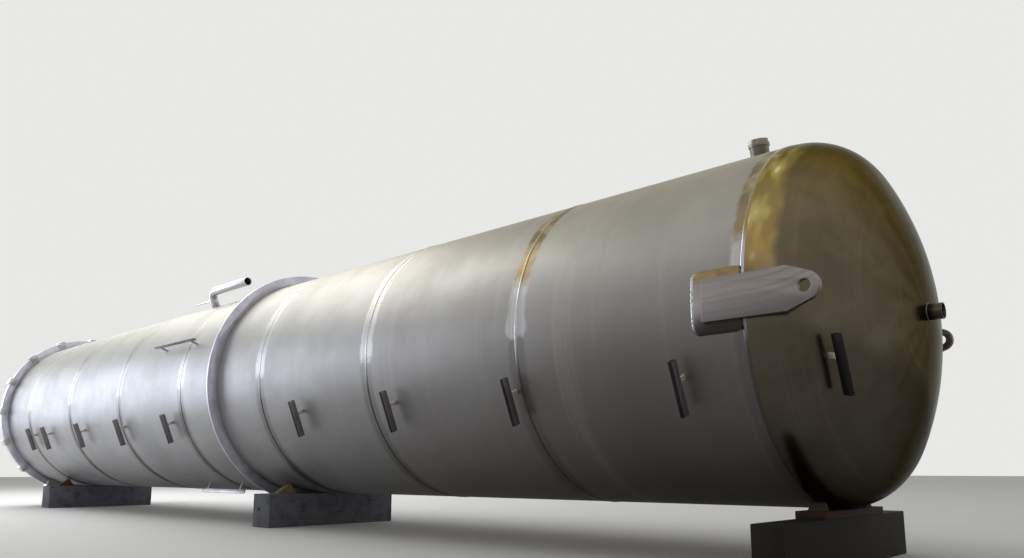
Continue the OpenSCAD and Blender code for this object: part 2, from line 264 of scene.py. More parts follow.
def pickled_plate(add, look):
    """Stainless plate, hot rolled, pickled in acid and bent in rolls.

    The acid leaves it a dull pale grey in soft clouds, and the rolls leave faint lines round the
    shell. A band beside each girth weld is brushed: a painted reflection shows silver on it at
    half height, painted shade dulls it below, and above it a painted warm reflection shows olive
    and straw, most of all near the head. The plate is painted lighter on top and darker
    underneath as light and shade, and paler and bluer away from the head as painted light.
    """
    flat, along, height, _ = unrolled(add)
    clouds = add(NOISE, {"Vector": flat, "Scale": per_mm(420), "Detail": 4.0, "Roughness": 0.55})
    stretched = add(VECTOR, {0: flat, 1: (1.0, 0.02, 1.0)}, **TIMES)
    line_scale = 1 / look.line_pitch
    lines = add(NOISE, {"Vector": stretched, "Scale": line_scale, "Detail": 4.0, "Roughness": 0.7})
    wipes = add(NOISE, {"Vector": stretched, "Scale": per_mm(90), "Detail": 3.0, "Roughness": 0.6})

    from_head = add(MATH, {0: HEAD_SEAM, 1: along}, **MINUS)
    # Painted light: away from the head the plate is paler and bluer, most of all underneath
    clean = add(RANGE, {0: from_head, 1: 0.5 * COURSE_L, 2: 5 * COURSE_L, 3: 0.0, 4: 0.9})
    below = add(MIX, {0: clean, 6: look.plate_under, 7: linear("#bab9ba")}, **COLOURS)
    # Painted shade and light: darker towards the underside and lighter on top
    under = add(RANGE, {0: height, 1: -0.3, 2: 0.5}, **SOFT)
    base = add(MIX, {0: under, 6: below, 7: look.plate_side}, **COLOURS)
    top = add(RANGE, {0: height, 1: 0.1, 2: 0.95}, **SOFT)
    base = add(MIX, {0: top, 6: base, 7: look.plate_top}, **COLOURS)
    paler = add(MATH, {0: clean, 1: 0.32}, **TIMES)
    base = add(MIX, {0: paler, 6: base, 7: linear("#c3cad6")}, **COLOURS)
    cloud_share = add(RANGE, {0: clouds, 1: 0.35, 2: 0.7, 3: 0.0, 4: 0.2}, **SOFT)
    base = add(MIX, {0: cloud_share, 6: base, 7: linear("#6e6a66")}, **COLOURS)
    wipe_share = add(RANGE, {0: wipes, 1: 0.5, 2: 0.75, 3: 0.0, 4: 0.08}, **SOFT)
    base = add(MIX, {0: wipe_share, 6: base, 7: linear("#d0cec8")}, **COLOURS)

    # The brushed bands: from_weld is the distance to the nearest girth weld, with a ragged edge,
    # and they reach a little further where a stroke of the brush ended. Far from the head they
    # have been wiped and hardly show
    courses = add(MATH, {0: from_head, 1: COURSE_L}, operation="DIVIDE")
    near_head = add(RANGE, {0: courses, 1: 2.3, 2: 1.2, 3: 0.12, 4: 0.9}, **SOFT)
    wiped = add(RANGE, {0: courses, 1: 4.5, 2: 2.2, 3: 0.15, 4: 0.42}, **SOFT)
    to_weld = add(MATH, {0: from_head, 1: COURSE_L / 2}, operation="PINGPONG")
    ragged = add(NOISE, {"Vector": flat, "Scale": per_mm(70), "Detail": 5.0, "Roughness": 0.65})
    nearer = add(MATH, {0: to_weld, 1: -25 * MM})
    from_weld = add(MATH, {0: ragged, 1: 50 * MM, 2: nearer}, **SCALED)
    stroke_end = add(MATH, {0: add(MATH, {0: height, 1: -0.03})}, operation="ABSOLUTE")
    reach = add(RANGE, {0: stroke_end, 1: 0.07, 2: 0.01, 3: 0.0, 4: 20 * MM}, **SOFT)
    reach = add(MATH, {0: reach, 1: near_head}, **TIMES)
    from_weld = add(MATH, {0: from_weld, 1: reach}, **MINUS)
    band = add(RANGE, {0: from_weld, 1: BAND_W + BAND_FADE, 2: BAND_W}, **SOFT)
    edge = add(MATH, {0: ragged, 1: 0.16, 2: add(MATH, {0: height, 1: -0.08})}, **SCALED)

    # Painted shade dulls the band below half height, and a painted reflection makes it silver there
    dulled = add(MATH, {0: band, 1: 0.45}, **TIMES)
    dull = add(MIX, {0: dulled, 6: base, 7: linear("#5b5958")}, **COLOURS)
    strokes = add(NOISE, {"Vector": stretched, "Scale": per_mm(22), "Detail": 3.0, "Roughness": 0.6})
    streaky = add(RANGE, {0: strokes, 1: 0.3, 2: 0.7, 3: 0.35, 4: 1.0}, **SOFT)
    streaky = add(MATH, {0: streaky, 1: wiped}, **TIMES)
    bright = add(MATH, {0: band, 1: streaky}, **TIMES)
    silver = add(MIX, {0: bright, 6: base, 7: linear("#cfd1d4")}, **COLOURS)
    brushed = add(RANGE, {0: edge, 1: -0.06, 2: 0.0}, **SOFT)
    base = add(MIX, {0: brushed, 6: dull, 7: silver}, **COLOURS)

    # Painted warm reflection above half height, strongest near the head
    tinted = add(RANGE, {0: edge, 1: 0.25, 2: 0.35}, **SOFT)
    tinted = add(MATH, {0: tinted, 1: near_head}, **TIMES)
    tint = add(MATH, {0: band, 1: tinted}, **TIMES)
    patches = add(NOISE, {"Vector": flat, "Scale": per_mm(150), "Detail": 3.0})
    patches = add(RANGE, {0: patches, 1: 0.38, 2: 0.62}, **SOFT)
    straw = add(MIX, {0: patches, 6: linear("#70684a"), 7: linear("#a59a74")}, **COLOURS)
    lower = add(RANGE, {0: height, 1: 0.62, 2: 0.36}, **SOFT)
    heat = add(MIX, {0: lower, 6: straw, 7: linear("#877457")}, **COLOURS)
    base = add(MIX, {0: tint, 6: base, 7: heat}, **COLOURS)

    rough = add(MATH, {0: clouds, 1: 0.1, 2: look.plate_roughness - 0.05}, **SCALED)
    rough = add(MATH, {0: lines, 1: 0.1, 2: rough}, **SCALED)
    rough = add(MATH, {0: band, 1: -0.1, 2: rough}, **SCALED)
    swell = add(NOISE, {"Vector": flat, "Scale": per_mm(500), "Detail": 1.0})
    waves = add(BUMP, {"Height": swell, "Distance": 1.5 * MM})
    fine = add(BUMP, {"Height": lines, "Distance": 0.04 * MM, "Normal": waves})
    metal = {"Base Color": base, "Metallic": 1.0, "Specular Tint": linear("#d8d6d0")}
    return add(SHADER, {**metal, "Roughness": rough, "Normal": fine})


def polished_head(add, look):
    """Stainless head, spun over a former and polished on a turntable.

    It is nearly a mirror, and the wheel has left fine rings round its middle. Its warm, dark olive
    cast is a painted reflection of a dark room, lighter and warmer on top and darker underneath.
    Beside the girth weld a golden band is a painted warm reflection, with a few bright spots that
    are painted highlights.
    """
    flat, along, height, r = unrolled(add)
    turn = add(SPLIT, {0: flat}, out=1)
    slow_turn = add(MATH, {0: turn, 1: 0.02}, **TIMES)
    disc = add(MERGE, {0: r, 1: slow_turn, 2: along})
    ring_scale = 1 / look.ring_pitch
    rings = add(NOISE, {"Vector": disc, "Scale": ring_scale, "Detail": 4.0, "Roughness": 0.65})
    wide_rings = add(NOISE, {"Vector": disc, "Scale": per_mm(45), "Detail": 3.0, "Roughness": 0.6})
    clouds = add(NOISE, {"Vector": flat, "Scale": per_mm(330), "Detail": 4.0, "Roughness": 0.55})

    # Painted reflection of a dark room: darker underneath, lighter and warmer on top
    under = add(RANGE, {0: height, 1: -0.8, 2: 0.1}, **SOFT)
    base = add(MIX, {0: under, 6: look.head_under, 7: look.head_side}, **COLOURS)
    top = add(RANGE, {0: height, 1: 0.1, 2: 0.9}, **SOFT)
    base = add(MIX, {0: top, 6: base, 7: look.head_top}, **COLOURS)
    cloud_share = add(RANGE, {0: clouds, 1: 0.4, 2: 0.65, 3: 0.0, 4: 0.35}, **SOFT)
    base = add(MIX, {0: cloud_share, 6: base, 7: linear("#453b2c")}, **COLOURS)
    smears = add(RANGE, {0: wide_rings, 1: 0.5, 2: 0.75, 3: 0.0, 4: 0.1}, **SOFT)
    base = add(MIX, {0: smears, 6: base, 7: linear("#8c8265")}, **COLOURS)

    # The golden band is a painted warm reflection, and its bright spots are painted highlights
    # The golden band fades into the olive at its edge and is gone at half height
    from_seam = add(MATH, {0: along, 1: HEAD_SEAM}, **MINUS)
    from_seam = add(MATH, {0: from_seam}, operation="ABSOLUTE")
    sway = add(MATH, {0: clouds, 1: 60 * MM, 2: from_seam}, **SCALED)
    band = add(RANGE, {0: sway, 1: look.gold_width + GOLD_FADE, 2: look.gold_width}, **SOFT)
    high = add(RANGE, {0: height, 1: 0.02, 2: 0.3}, **SOFT)
    gold_share = add(MATH, {0: band, 1: high}, **TIMES)
    drawn_round = add(VECTOR, {0: flat, 1: (1.0, 0.4, 1.0)}, **TIMES)
    streaks = add(NOISE, {"Vector": drawn_round, "Scale": per_mm(75), "Detail": 1.0, "Roughness": 0.4})
    streak = add(RANGE, {0: streaks, 1: 0.35, 2: 0.65}, **SOFT)
    gold = add(MIX, {0: streak, 6: linear("#8a7a4d"), 7: linear("#b5a468")}, **COLOURS)
    spots = add(RANGE, {0: streaks, 1: 0.62, 2: 0.76}, **SOFT)
    gold = add(MIX, {0: spots, 6: gold, 7: linear("#efe6b2")}, **COLOURS)
    lower = add(RANGE, {0: height, 1: 0.5, 2: 0.2}, **SOFT)
    lower = add(MATH, {0: lower, 1: 0.6}, **TIMES)
    gold = add(MIX, {0: lower, 6: gold, 7: linear("#96784a")}, **COLOURS)
    base = add(MIX, {0: gold_share, 6: base, 7: gold}, **COLOURS)

    rough = add(MATH, {0: clouds, 1: 0.08, 2: look.head_roughness - 0.04}, **SCALED)
    rough = add(MATH, {0: rings, 1: 0.08, 2: rough}, **SCALED)
    dents = add(NOISE, {"Vector": flat, "Scale": per_mm(260), "Detail": 1.0})
    waves = add(BUMP, {"Height": dents, "Distance": 1.4 * MM})
    fine = add(BUMP, {"Height": rings, "Distance": 0.02 * MM, "Normal": waves})
    # Painted reflection of a dark room: the specular tint keeps the edges as dark as the middle
    metal = {"Base Color": base, "Metallic": 1.0, "Specular Tint": linear("#a09f9c")}
    return add(SHADER, {**metal, "Roughness": rough, "Normal": fine})


def brushed_weld(add):
    """Stainless weld metal, laid with a rod and wire brushed.

    Its crown is silver, with crescent ripples a few millimetres apart and brown oxide in between.
    A bead's tint sets its colour: 1 is straw and -1 is dull brown. Where it follows the bead's
    height, the straw on top is a painted warm reflection and the brown below is painted shade.
    """
    along_mm = add(ATTRIBUTE, out="Fac", attribute_name="along_mm")
    across = add(ATTRIBUTE, out="Fac", attribute_name="across")
    tint = add(ATTRIBUTE, out="Fac", attribute_name="tint")
    squared = add(MATH, {0: across, 1: across}, **TIMES)
    bend = add(MATH, {0: squared, 1: RIPPLE_BEND_MM, 2: along_mm}, **SCALED)
    # Ripples are about 2 mm apart on a real bead, and are drawn wider to show at this distance
    ripple = add(MATH, {0: bend, 1: RIPPLE_PITCH_MM}, operation="DIVIDE")
    ripple = add(MATH, {0: ripple}, operation="FRACT")
    place = add(PLACE, out="Object")
    oxide = add(NOISE, {"Vector": place, "Scale": per_mm(35), "Detail": 3.0, "Roughness": 0.6})
    valley = add(RANGE, {0: ripple, 1: 0.6, 2: 1.0, 3: 0.0, 4: 0.45}, **SOFT)
    spots = add(RANGE, {0: oxide, 1: 0.55, 2: 0.75, 3: 0.0, 4: 0.4}, **SOFT)
    straw = add(RANGE, {0: tint, 1: 0.0, 2: 1.0})
    scale = add(RANGE, {0: tint, 1: 0.0, 2: -1.0})
    layers = (valley, "#76736f"), (spots, "#857860"), (straw, "#8d7e55"), (scale, "#474341")
    base = linear("#adadb1")
    for share, colour in layers:
        base = add(MIX, {0: share, 6: base, 7: linear(colour)}, **COLOURS)
    rough = add(MATH, {0: oxide, 1: 0.2, 2: 0.12}, **SCALED)
    rough = add(MATH, {0: scale, 1: 0.25, 2: rough}, **SCALED)
    crests = add(BUMP, {"Height": ripple, "Distance": 0.25 * MM})
    return add(SHADER, {"Base Color": base, "Metallic": 1.0, "Roughness": rough, "Normal": crests})


def weld_finish():
    """The one finish of all the weld beads, made when it is first asked for."""
    return bpy.data.materials.get(WELD) or new_finish(WELD, brushed_weld)


def disc_ground_lug(add):
    """Thick stainless plate, ground by hand with a coarse disc.

    Long fine strokes run along the plate and rise towards its nose. They spread the light across
    them, and the skin between them stays a soft mid grey.
    """
    hole = (LUG_HOLE_X, 0.0, AXIS_Z)
    here = add(VECTOR, {0: add(PLACE, out="Object"), 1: hole}, **MINUS)
    x, y, z = add(SPLIT, {0: here}).node.outputs
    # The strokes rise from 280 mm behind the hole by half the square of the distance
    front = add(MATH, {0: add(MATH, {0: x, 1: 280 * MM}), 1: 0.0}, operation="MAXIMUM")
    square = add(MATH, {0: front, 1: 2.0}, operation="POWER")
    rise = add(MATH, {0: square, 1: -0.5, 2: z}, **SCALED)
    sway = add(NOISE, {"Vector": here, "Scale": per_mm(400), "Detail": 1.0})
    level = add(MATH, {0: sway, 1: 0.03, 2: rise}, **SCALED)
    drawn_out = add(MATH, {0: x, 1: 0.025}, **TIMES)
    strokes_at = add(MERGE, {0: drawn_out, 1: level, 2: y})
    fine = add(NOISE, {"Vector": strokes_at, "Scale": per_mm(3), "Detail": 4.0, "Roughness": 0.7})
    broad = add(NOISE, {"Vector": strokes_at, "Scale": per_mm(22), "Detail": 3.0, "Roughness": 0.55})
    light = add(RANGE, {0: broad, 1: 0.35, 2: 0.65}, **SOFT)
    dark = add(RANGE, {0: fine, 1: 0.5, 2: 0.75, 3: 0.0, 4: 0.2}, **SOFT)
    # Painted shade: the plate darkens towards its lower edge
    low = add(RANGE, {0: z, 1: 20 * MM, 2: -120 * MM, 3: 0.0, 4: 0.55}, **SOFT)
    base = linear("#797370")
    for share, colour in (light, "#85807d"), (dark, "#54504e"), (low, "#56545a"):
        base = add(MIX, {0: share, 6: base, 7: linear(colour)}, **COLOURS)
    rough = add(MATH, {0: fine, 1: 0.15, 2: 0.32}, **SCALED)
    grooves = add(BUMP, {"Height": fine, "Distance": 0.06 * MM})
    soft = add(BUMP, {"Height": broad, "Distance": 0.05 * MM, "Normal": grooves})
    return add(SHADER, {"Base Color": base, "Metallic": 1.0, "Roughness": rough, "Normal": soft})


def wiped_pad(add):
    """Stainless pad plate, pickled and wiped, and then welded all round.

    Its upper margin is a soft bronze, a painted warm reflection, and its lower margin is dark
    with painted shade.
    """
    place = add(PLACE, out="Object")
    height = add(MATH, {0: add(SPLIT, {0: place}, out=2), 1: AXIS_Z}, **MINUS)
    clouds = add(NOISE, {"Vector": place, "Scale": per_mm(60), "Detail": 3.0, "Roughness": 0.5})
    lowered = add(MATH, {0: height, 1: -20 * MM})
    level = add(MATH, {0: clouds, 1: 40 * MM, 2: lowered}, **SCALED)
    base = add(MIX, {0: clouds, 6: linear("#77716f"), 7: linear("#898482")}, **COLOURS)
    # Painted warm reflection: bronze on the upper margin
    bronze = add(MIX, {0: clouds, 6: linear("#6b5c3f"), 7: linear("#988763")}, **COLOURS)
    upper = add(RANGE, {0: level, 1: 80 * MM, 2: 120 * MM}, **SOFT)
    base = add(MIX, {0: upper, 6: base, 7: bronze}, **COLOURS)
    # Painted shade: dark on the lower margin
    lower = add(RANGE, {0: level, 1: -30 * MM, 2: -120 * MM}, **SOFT)
    base = add(MIX, {0: lower, 6: base, 7: linear("#3b3737")}, **COLOURS)
    rough = add(MATH, {0: clouds, 1: 0.1, 2: 0.3}, **SCALED)
    swell = add(BUMP, {"Height": clouds, "Distance": 0.4 * MM})
    return add(SHADER, {"Base Color": base, "Metallic": 1.0, "Roughness": rough, "Normal": swell})


def cut_plate(add, light, dark, roughness=0.38):
    """Stainless plate, cut by plasma and left as it is.

    It is a dull grey with a mottled mill skin and darker smudges from handling.
    """
    place = add(PLACE, out="Object")
    skin = add(NOISE, {"Vector": place, "Scale": per_mm(14), "Detail": 4.0, "Roughness": 0.6})
    clouds = add(NOISE, {"Vector": place, "Scale": per_mm(120), "Detail": 3.0})
    half = add(MATH, {0: clouds, 1: 0.5}, **TIMES)
    mottle = add(MATH, {0: skin, 1: 0.5, 2: half}, **SCALED)
    share = add(RANGE, {0: mottle, 1: 0.35, 2: 0.65}, **SOFT)
    base = add(MIX, {0: share, 6: linear(dark), 7: linear(light)}, **COLOURS)
    rough = add(MATH, {0: skin, 1: 0.15, 2: roughness}, **SCALED)
    grit = add(BUMP, {"Height": skin, "Distance": 0.1 * MM})
    return add(SHADER, {"Base Color": base, "Metallic": 1.0, "Roughness": rough, "Normal": grit})


def drawn_pipe(add, light, dark):
    """Stainless pipe, drawn and pickled: smooth, with a faint satin mottle."""
    place = add(PLACE, out="Object")
    skin = add(NOISE, {"Vector": place, "Scale": per_mm(25), "Detail": 4.0, "Roughness": 0.6})
    base = add(MIX, {0: skin, 6: linear(dark), 7: linear(light)}, **COLOURS)
    rough = add(MATH, {0: skin, 1: 0.15, 2: 0.22}, **SCALED)
    satin = add(BUMP, {"Height": skin, "Distance": 0.05 * MM})
    return add(SHADER, {"Base Color": base, "Metallic": 1.0, "Roughness": rough, "Normal": satin})


def pressed_gasket(add):
    """Graphite gasket sheet, pressed between the flanges: matt black grey with a faint grain."""
    grain = add(NOISE, {"Vector": add(PLACE, out="Object"), "Scale": per_mm(6), "Detail": 3.0})
    base = add(MIX, {0: grain, 6: linear("#1b1b1c"), 7: linear("#2d2d2e")}, **COLOURS)
    rough = add(MATH, {0: grain, 1: 0.2, 2: 0.6}, **SCALED)
    return add(SHADER, {"Base Color": base, "Roughness": rough})


def sawn_softwood(add, middle, light, dark, weathered):
    """Softwood beam, sawn square and left out in the weather.

    Its growth rings lie round a pith along Y, so they show as lines on the sides and as arcs on
    the ends. Rain and sun have greyed it, dirt has settled in the open grain, and it has split
    in fine checks along the grain.
    """
    here = add(VECTOR, {0: add(PLACE, out="Object"), 1: middle}, **MINUS)
    long_way = add(VECTOR, {0: here, 1: (1.0, 0.25, 1.0)}, **TIMES)
    wander = add(NOISE, {"Vector": long_way, "Scale": per_mm(220), "Detail": 2.0})
    x, _, z = add(SPLIT, {0: here}).node.outputs
    # The pith lies below the beam and a little to one side
    aside = add(MATH, {0: x, 1: -10 * MM})
    side = add(MATH, {0: wander, 1: 80 * MM, 2: aside}, **SCALED)
    depth = add(MATH, {0: z, 1: PITH_DEPTH})
    from_pith = add(VECTOR, {0: add(MERGE, {0: side, 1: depth})}, out=1, operation="LENGTH")
    ring = add(MATH, {0: from_pith, 1: GROWTH_RING}, operation="DIVIDE")
    ring = add(MATH, {0: ring}, operation="FRACT")
    late = add(RANGE, {0: ring, 1: 0.45, 2: 0.95}, **SOFT)
    drawn_out = add(VECTOR, {0: here, 1: (1.0, 0.03, 1.0)}, **TIMES)
    fibre = add(NOISE, {"Vector": drawn_out, "Scale": per_mm(2.5), "Detail": 4.0, "Roughness": 0.7})
    dirt = add(NOISE, {"Vector": here, "Scale": per_mm(130), "Detail": 5.0, "Roughness": 0.6})
    splits = add(NOISE, {"Vector": drawn_out, "Scale": per_mm(9), "Detail": 2.0})
    checks = add(RANGE, {0: splits, 1: 0.66, 2: 0.7}, **SOFT)

    rings = add(MATH, {0: late, 1: 0.55}, **TIMES)
    greyed = add(MATH, {0: fibre, 1: 0.5, 2: 0.15}, **SCALED)
    soiled = add(RANGE, {0: dirt, 1: 0.45, 2: 0.75, 3: 0.0, 4: 0.55}, **SOFT)
    split = add(MATH, {0: checks, 1: 0.8}, **TIMES)
    layers = (rings, dark), (greyed, weathered), (soiled, "#1f1b18"), (split, "#100d0b")
    base = linear(light)
    for share, colour in layers:
        base = add(MIX, {0: share, 6: base, 7: linear(colour)}, **COLOURS)
    open_grain = add(MATH, {0: fibre, 1: checks}, **MINUS)
    relief = add(MATH, {0: late, 1: 0.35, 2: open_grain}, **SCALED)
    rough = add(MATH, {0: fibre, 1: 0.15, 2: 0.75}, **SCALED)
    grain = add(BUMP, {"Height": relief, "Distance": 0.9 * MM})
    dry = {"Base Color": base, "Roughness": rough, "Specular IOR Level": 0.25}
    return add(SHADER, {**dry, "Normal": grain})


def painted_floor(add):
    """Concrete floor under matt pale paint: nearly even, with the faintest clouds."""
    clouds = add(NOISE, {"Vector": add(PLACE, out="Object"), "Scale": per_mm(900), "Detail": 2.0})
    base = add(MIX, {0: clouds, 6: linear("#e4e3e0"), 7: linear("#e9e8e6")}, **COLOURS)
    return add(SHADER, {"Base Color": base, "Roughness": 0.9, "Specular IOR Level": 0.1})


def put(piece, slot_name, material, *replaced):
    """Dresses a piece, lets it ride on the one body and hides the nodes that it stands for."""
    piece.data.materials.clear()
    piece.data.materials.append(material)
    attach(piece, "root")
    if replaced:
        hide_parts(*replaced)
    return piece


def paint_node(name, material):
    """Gives a CAD node whose shape is right its finish."""
    slots = NODES[name].material_slots
    for s in slots:
        s.material = material
    if not slots:
        NODES[name].data.materials.append(material)


def linked(name, data):
    """A new object in the scene."""
    made = bpy.data.objects.new(name, data)
    bpy.context.scene.collection.objects.link(made)
    return made


def cut_piece(name, work):
    """Turns a worked mesh into an object, smooth between its sharp edges."""
    mesh = bpy.data.meshes.new(name)
    work.to_mesh(mesh)
    work.free()
    mesh.shade_smooth()
    mesh.set_sharp_from_angle(angle=PLATE_SHARP)
    return linked(name, mesh)


def eased(name, source, width, steps=2):
    """A copy of a CAD node as a piece of its own, with its cut edges eased by a file."""
    work = bmesh.new()
    work.from_mesh(NODES[source].data)
    bmesh.ops.remove_doubles(work, verts=work.verts, dist=0.02 * MM)
    bmesh.ops.dissolve_limit(work, angle_limit=ONE_PLANE, verts=work.verts, edges=work.edges)
    inner = [e for e in work.edges if len(e.link_faces) == 2]
    bmesh.ops.bevel(
        work,
        geom=[e for e in inner if e.calc_face_angle(0.0) > CUT_EDGE],
        offset=width,
        offset_type="OFFSET",
        segments=steps,
        profile=0.5,
        affect="EDGES",
        clamp_overlap=True,
    )
    return cut_piece(name, work)


def drilled(piece, start, along, radius):
    """Drills a round hole into a piece, centred on start and as deep as along is long."""
    work = bmesh.new()
    size = {"radius1": radius, "radius2": radius, "depth": 2 * along.length}
    bmesh.ops.create_cone(work, cap_ends=True, segments=32, **size)
    mesh = bpy.data.meshes.new("drill")
    work.to_mesh(mesh)
    work.free()
    drill = linked("drill", mesh)
    drill.location = start
    drill.rotation_euler = along.to_track_quat("Z", "X").to_euler()
    cut = piece.modifiers.new("hole", "BOOLEAN")
    cut.object = drill
    bpy.context.view_layer.update()
    whole = piece.evaluated_get(bpy.context.evaluated_depsgraph_get())
    piece.data = bpy.data.meshes.new_from_object(whole)
    piece.modifiers.clear()
    bpy.data.objects.remove(drill)


def bead(name, path, normals, width, height, seed, closed=True, tints=None, shares=None):
    """A weld bead along a path: a closed, crowned strip whose width and height wander a little.

    Tints and shares hold a value for each point: what the bead's finish shows there, and the
    share of the full width and height that it has.
    """
    count = len(path)
    verts, along, across, tint = [], [], [], []
    run = 0.0
    for i, (point, normal) in enumerate(zip(path, normals)):
        before = path[i - 1] if closed or i else point
        after = path[(i + 1) % count] if closed or i < count - 1 else point
        ahead = (after - before).normalized()
        side = ahead.cross(normal).normalized()
        up = side.cross(ahead).normalized()
        if i:
            run += (point - path[i - 1]).length
        # The place in the noise goes round with a closed bead, so that its ends meet
        turn = 2 * math.pi * i / count
        place = Vector((math.cos(turn) * 9, math.sin(turn) * 9, seed * 3.7))
        if not closed:
            place = Vector((run * 30, seed * 3.7, 0.0))
        share = shares[i] if shares else 1.0
        half = share * width / 2 * (1 + WIDTH_WANDER * noise.noise(place))
        crown = share * height * (1 + HEIGHT_WANDER * noise.noise(place * 1.7))
        sway = SWAY * noise.noise(place * 0.9)
        for k in range(CROWN_ARCS + 1):
            t = math.pi * (k / CROWN_ARCS - 0.5)
            verts.append(point + side * (half * math.sin(t) + sway) + up * (crown * math.cos(t)))
            along.append(run / MM)
            across.append(math.sin(t))
            tint.append(tints[i] if tints else 0.0)
    row = CROWN_ARCS + 1
    faces = []
    for i in range(count if closed else count - 1):
        a, b = i * row, (i + 1) % count * row
        for k in range(row):
            n = (k + 1) % row
            faces.append((a + k, b + k, b + n, a + n))
    if not closed:
        faces.append(tuple(range(row)))
        faces.append(tuple(reversed(range(len(verts) - row, len(verts)))))
    mesh = bpy.data.meshes.new(name)
    mesh.from_pydata(verts, [], faces)
    for key, values in (("along_mm", along), ("across", across), ("tint", tint)):
        mesh.attributes.new(key, "FLOAT", "POINT").data.foreach_set("value", values)
    mesh.shade_smooth()
    mesh.set_sharp_from_angle(angle=BEAD_SHARP)
    return linked(name, mesh)


def bar_piece(name, size, low, origin, axes, ease):
    """A bar with eased edges: its length and width lie centred across, and it starts at low."""
    work = bmesh.new()
    bmesh.ops.create_cube(work, size=1.0)
    bmesh.ops.scale(work, vec=size, verts=work.verts)
    bmesh.ops.translate(work, vec=low + Vector((0, 0, size.z / 2)), verts=work.verts)
    bmesh.ops.bevel(work, geom=work.edges[:], offset=ease, segments=2, profile=0.5, affect="EDGES")
    for vert in work.verts:
        vert.co = origin + sum((c * axis for c, axis in zip(vert.co, axes)), Vector())
    bmesh.ops.recalc_face_normals(work, faces=work.faces)
    return cut_piece(name, work)


def ring_path(x, r, lean=0.0, points=RING_POINTS):
    """A circle round the shell's axis, with normals that lean along X."""
    path, normals = [], []
    for i in range(points):
        a = 360.0 * i / points
        path.append(on_shell(x, a, r))
        normals.append((out_of_shell(a) + Vector((lean, 0, 0))).normalized())
    return path, normals


def outline(half_x, half_y, corner, open_front=False):
    """Points and outward directions along a rounded rectangle; its front side may stay open."""
    quarters = [(1, 1, 0), (-1, 1, 90), (-1, -1, 180), (1, -1, 270)]
    line = []
    for sx, sy, start in quarters[1:3] if open_front else quarters:
        for k in range(9):
            a = math.radians(start + 90 * k / 8)
            nx, ny = math.cos(a), math.sin(a)
            px, py = sx * (half_x - corner), sy * (half_y - corner)
            line.append((px + corner * nx, py + corner * ny, nx, ny))
    if open_front:
        return [(half_x, half_y, 0.0, 1.0), *line, (half_x, -half_y, 0.0, -1.0)]
    return line + line[:1]


def spaced(line):
    """The same line with points in between, so that they stand about a step apart."""
    dense = []
    for a, b in zip(line, line[1:]):
        pieces = max(1, int(math.hypot(b[0] - a[0], b[1] - a[1]) / STEP))
        dense += [tuple(p + k / pieces * (q - p) for p, q in zip(a, b)) for k in range(pieces)]
    return dense


def laid_on_shell(line, middle_x, angle, r=SHELL_R):
    """Lays a flat line on a round surface, with normals that lean outwards at 45 degrees."""
    path, normals = [], []
    for px, py, nx, ny in line:
        a = angle + math.degrees(math.asin(py / r))
        path.append(on_shell(middle_x + px, a, r))
        lean = Vector((nx, 0, 0)) + ny * out_of_shell(angle + 90)
        normals.append((out_of_shell(a) + lean).normalized())
    return path, normals


def joined(name, parts):
    """Joins like pieces into one object."""
    for other in bpy.context.selected_objects:
        other.select_set(False)
    for part in parts:
        part.select_set(True)
    bpy.context.view_layer.objects.active = parts[0]
    bpy.ops.object.join()
    parts[0].name = name
    return parts[0]


def area_lamp(name, place, aim, size, power, colour):
    """A rectangular lamp that shines from place towards aim."""
    data = bpy.data.lights.new(name, "AREA")
    data.shape = "RECTANGLE"
    data.size, data.size_y = size
    data.energy = power
    data.color = linear(colour)[:3]
    lamp = linked(name, data)
    lamp.visible_camera = False
    lamp.location = place
    lamp.rotation_euler = (Vector(aim) - Vector(place)).to_track_quat("-Z", "Y").to_euler()


def length(name, description, default, smallest):
    """A length that the user may change."""
    return bpy.props.FloatProperty(
        name=name, description=description, default=default, min=smallest, subtype="DISTANCE"
    )


def tone(name, description, hex_colour):
    """A colour that the user may change."""
    default = linear(hex_colour)
    return bpy.props.FloatVectorProperty(
        name=name, description=description, default=default, size=4, subtype="COLOR"
    )


class ShellLook(bpy.types.PropertyGroup):
    """Sizes and tones of the shell plate and the dished heads."""

    line_pitch: length("Line pitch", "Distance between the lines that the rolls left", 9 * MM, 1 * MM)
    ring_pitch: length("Ring pitch", "Distance between the polishing rings", 5 * MM, 1 * MM)
    gold_width: length("Golden band", "Width of the golden band beside the weld", 150 * MM, 10 * MM)
    plate_roughness: bpy.props.FloatProperty(
        name="Plate roughness",
        description="How far the plate smears a reflection",
        default=0.43,
        min=0.1,
        max=0.8,
        subtype="FACTOR",
    )
    head_roughness: bpy.props.FloatProperty(
        name="Head roughness",
        description="How far the head smears a reflection",
        default=0.2,
        min=0.05,
        max=0.6,
        subtype="FACTOR",
    )
    # Lighter on top and darker underneath: painted light and shade
    plate_top: tone("Plate, top", "Tone of the plate on top of the shell", "#aeaa9a")
    plate_side: tone("Plate, sides", "Tone of the plate on the sides", "#989693")
    plate_under: tone("Plate, underside", "Tone of the shaded plate underneath", "#696664")
    # The head's dark olive tones are a painted reflection of a dark room, lighter and warmer on top
    head_top: tone("Head, top", "Tone of the head at its top", "#786a45")
    head_side: tone("Head, middle", "Tone of the head at half its height", "#5f584a")
    head_under: tone("Head, underside", "Tone of the head underneath", "#58544c")


